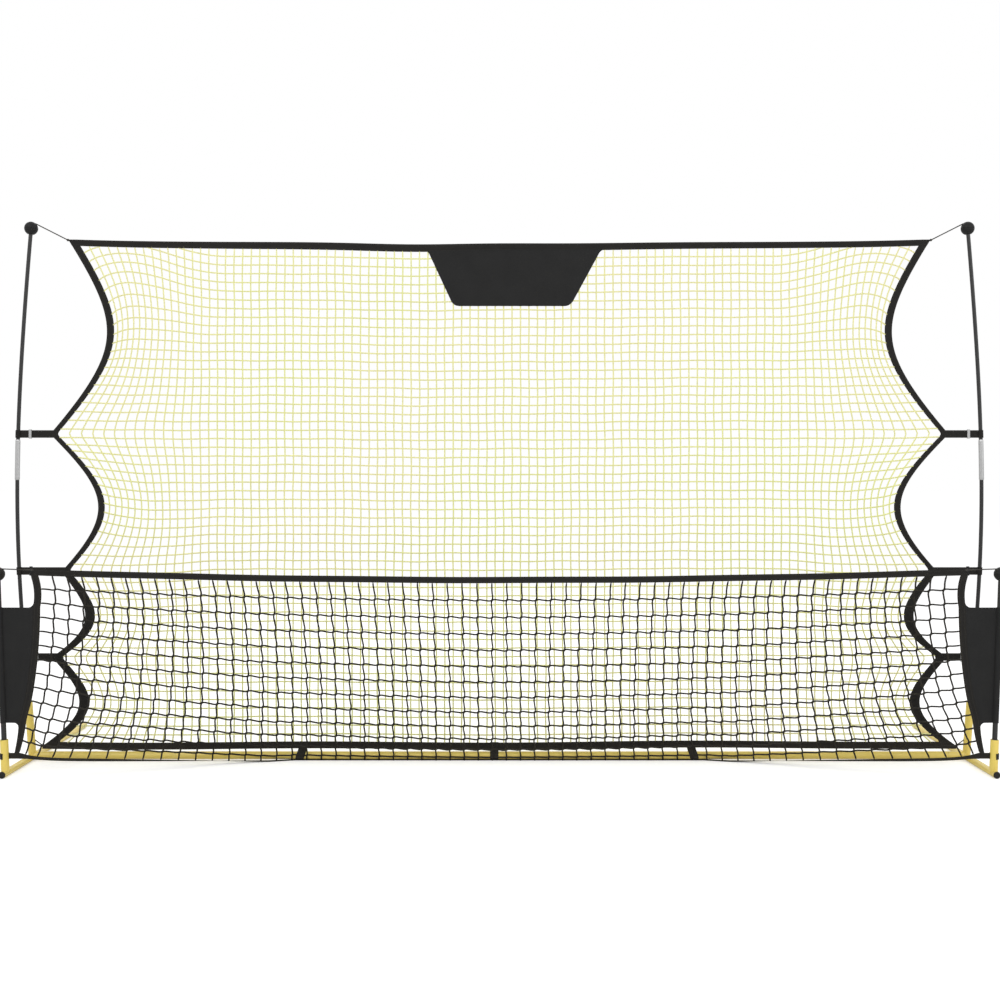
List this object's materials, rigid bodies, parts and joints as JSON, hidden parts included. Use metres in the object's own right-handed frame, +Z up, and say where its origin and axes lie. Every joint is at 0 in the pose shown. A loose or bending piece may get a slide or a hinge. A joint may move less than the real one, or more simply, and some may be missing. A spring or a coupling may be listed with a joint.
{
  "type": "ball rebounder",
  "caption": "Free-standing ball rebounder: a tall pale net between long bowed poles and a low black net between short poles, on a yellow steel tube base that packs down.",
  "frame": {"origin": "on the ground under the middle of the object's bounding box", "axes": "+X to the right and +Y to the back as seen from the low net's side, +Z up"},
  "size_m": [3.7974, 0.9, 2.1089],
  "materials": {
    "frame_paint": "gloss",
    "plastic_black": "matte",
    "rod_black": "satin",
    "ferrule_metal": "satin",
    "button_steel": "satin",
    "slider_plastic": "matte",
    "webbing_black": "woven",
    "cloth_black": "woven",
    "net_pale": "knotted",
    "net_black": "knotted",
    "cord_grey": "braided"
  },
  "bodies": {
    "frame": {"side_tube_left": "frame_paint", "side_tube_right": "frame_paint", "front_end_plug_left": "plastic_black", "front_end_plug_right": "plastic_black", "rear_end_plug_left": "plastic_black", "rear_end_plug_right": "plastic_black", "crossbar_stub_left": "frame_paint", "crossbar_stub_right": "frame_paint", "crossbar_left": "frame_paint", "crossbar_right": "frame_paint", "tall_socket_left": "frame_paint", "tall_socket_right": "frame_paint", "tall_socket_bush_left": "plastic_black", "tall_socket_bush_right": "plastic_black", "low_socket_left": "frame_paint", "low_socket_right": "frame_paint", "low_socket_bush_left": "plastic_black", "low_socket_bush_right": "plastic_black", "tall_pole_lower_left": "rod_black", "tall_pole_lower_right": "rod_black", "tall_pole_upper_left": "rod_black", "tall_pole_upper_right": "rod_black", "tall_pole_ferrule_left": "ferrule_metal", "tall_pole_ferrule_right": "ferrule_metal", "low_pole_left": "rod_black", "low_pole_right": "rod_black", "tall_pole_cap_left": "plastic_black", "tall_pole_cap_right": "plastic_black", "low_pole_cap_left": "plastic_black", "low_pole_cap_right": "plastic_black", "tall_net_side_border_left": "webbing_black", "tall_net_side_border_right": "webbing_black", "tall_top_cord_left": "cord_grey", "tall_top_cord_right": "cord_grey", "tall_bottom_cord_left": "cord_grey", "tall_bottom_cord_right": "cord_grey", "low_net_side_border_left": "webbing_black", "low_net_side_border_right": "webbing_black", "low_end_panel_left": "cloth_black", "low_end_panel_right": "cloth_black", "low_top_cord_left": "cord_grey", "low_top_cord_right": "cord_grey", "crossbar_middle": "frame_paint", "tall_net_mesh": "net_pale", "tall_net_top_border": "webbing_black", "tall_net_bottom_border": "webbing_black", "tall_net_patch": "cloth_black", "low_net_mesh": "net_black", "low_net_top_border": "webbing_black", "low_net_bottom_border": "webbing_black"},
    "outer_snap_button_left": {"outer_snap_button_left": "button_steel"},
    "outer_snap_button_right": {"outer_snap_button_right": "button_steel"},
    "inner_snap_button_left": {"inner_snap_button_left": "button_steel"},
    "inner_snap_button_right": {"inner_snap_button_right": "button_steel"},
    "upper_strap_slider_left": {"upper_strap_slider_left": "slider_plastic"},
    "upper_strap_slider_right": {"upper_strap_slider_right": "slider_plastic"},
    "middle_strap_slider_left": {"middle_strap_slider_left": "plastic_black"},
    "middle_strap_slider_right": {"middle_strap_slider_right": "plastic_black"},
    "lower_strap_slider_left": {"lower_strap_slider_left": "slider_plastic"},
    "lower_strap_slider_right": {"lower_strap_slider_right": "slider_plastic"}
  },
  "joints": [
    {"name": "outer_snap_button_left_slide", "type": "slide", "parent": "frame", "child": "outer_snap_button_left", "axis": [0, -1, 0], "range_m": [0, 0.0035], "stiffness_N_per_m": 800, "springref_m": -0.001},
    {"name": "outer_snap_button_right_slide", "type": "slide", "parent": "frame", "child": "outer_snap_button_right", "axis": [0, -1, 0], "range_m": [0, 0.0035], "stiffness_N_per_m": 800, "springref_m": -0.001},
    {"name": "inner_snap_button_left_slide", "type": "slide", "parent": "frame", "child": "inner_snap_button_left", "axis": [0, -1, 0], "range_m": [0, 0.0035], "stiffness_N_per_m": 800, "springref_m": -0.001},
    {"name": "inner_snap_button_right_slide", "type": "slide", "parent": "frame", "child": "inner_snap_button_right", "axis": [0, -1, 0], "range_m": [0, 0.0035], "stiffness_N_per_m": 800, "springref_m": -0.001},
    {"name": "upper_strap_slider_left_slide", "type": "slide", "parent": "frame", "child": "upper_strap_slider_left", "axis": [1, 0, 0], "range_m": [-0.015, 0.015]},
    {"name": "upper_strap_slider_right_slide", "type": "slide", "parent": "frame", "child": "upper_strap_slider_right", "axis": [1, 0, 0], "range_m": [-0.015, 0.015]},
    {"name": "middle_strap_slider_left_slide", "type": "slide", "parent": "frame", "child": "middle_strap_slider_left", "axis": [1, 0, 0], "range_m": [-0.015, 0.015]},
    {"name": "middle_strap_slider_right_slide", "type": "slide", "parent": "frame", "child": "middle_strap_slider_right", "axis": [1, 0, 0], "range_m": [-0.015, 0.015]},
    {"name": "lower_strap_slider_left_slide", "type": "slide", "parent": "frame", "child": "lower_strap_slider_left", "axis": [1, 0, 0], "range_m": [-0.015, 0.015]},
    {"name": "lower_strap_slider_right_slide", "type": "slide", "parent": "frame", "child": "lower_strap_slider_right", "axis": [1, 0, 0], "range_m": [-0.015, 0.015]}
  ]
}
